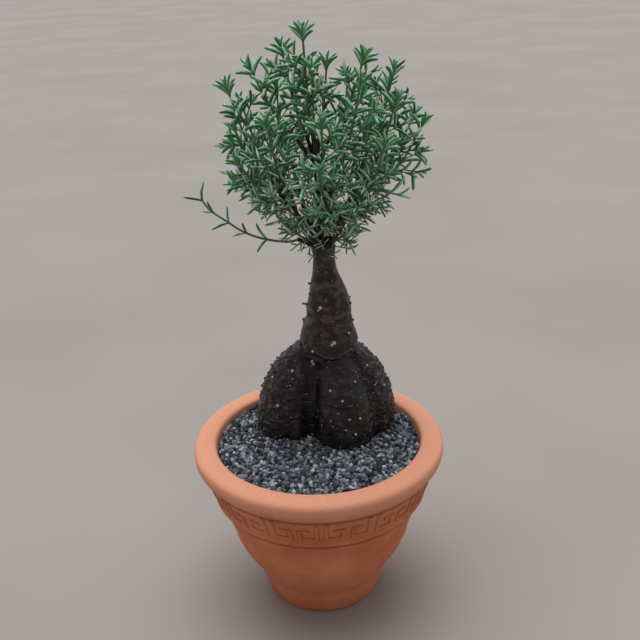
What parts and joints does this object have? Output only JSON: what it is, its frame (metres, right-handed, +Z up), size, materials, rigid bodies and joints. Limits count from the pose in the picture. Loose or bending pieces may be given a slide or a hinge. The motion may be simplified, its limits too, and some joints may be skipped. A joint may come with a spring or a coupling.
{
  "type": "potted mestoklema",
  "caption": "Succulent with a dark, lobed, swollen caudex, one trunk and a round crown of small finger-like leaves, in a terracotta bell pot with a fret band, topped with grey grit.",
  "frame": {"origin": "centre of the pot's foot, on the surface it stands on", "axes": "+Z up along the trunk, -Y towards the side of the plant seen in the picture, +X to the right of that view"},
  "size_m": [0.18, 0.18, 0.4144],
  "materials": {
    "terracotta": "matt unglazed fired clay, smooth",
    "potting_soil": "crumbly and moist",
    "grit": "rough, mixed grey stone",
    "caudex_bark": "dark warty skin, slightly waxy",
    "leaf_green": "fleshy, satin"
  },
  "bodies": {
    "root": {"pot": "terracotta", "potting_soil": "potting_soil", "gravel": "grit", "caudex": "caudex_bark", "spray_01": "leaf_green", "spray_02": "leaf_green", "spray_03": "leaf_green", "spray_04": "leaf_green", "spray_05": "leaf_green", "spray_06": "leaf_green", "spray_07": "leaf_green", "spray_08": "leaf_green", "spray_09": "leaf_green", "spray_10": "leaf_green", "spray_11": "leaf_green", "spray_12": "leaf_green", "spray_13": "leaf_green", "spray_14": "leaf_green", "spray_15": "leaf_green", "spray_16": "leaf_green", "spray_17": "leaf_green", "spray_18": "leaf_green", "spray_19": "leaf_green", "spray_20": "leaf_green", "spray_21": "leaf_green", "spray_22": "leaf_green", "spray_23": "leaf_green", "spray_24": "leaf_green", "spray_25": "leaf_green", "spray_26": "leaf_green", "spray_27": "leaf_green", "spray_28": "leaf_green", "spray_29": "leaf_green", "spray_30": "leaf_green", "spray_31": "leaf_green", "spray_32": "leaf_green", "spray_33": "leaf_green", "spray_34": "leaf_green", "spray_35": "leaf_green", "spray_36": "leaf_green", "spray_37": "leaf_green", "spray_38": "leaf_green", "spray_39": "leaf_green", "spray_40": "leaf_green", "spray_41": "leaf_green", "spray_42": "leaf_green"}
  },
  "joints": []
}
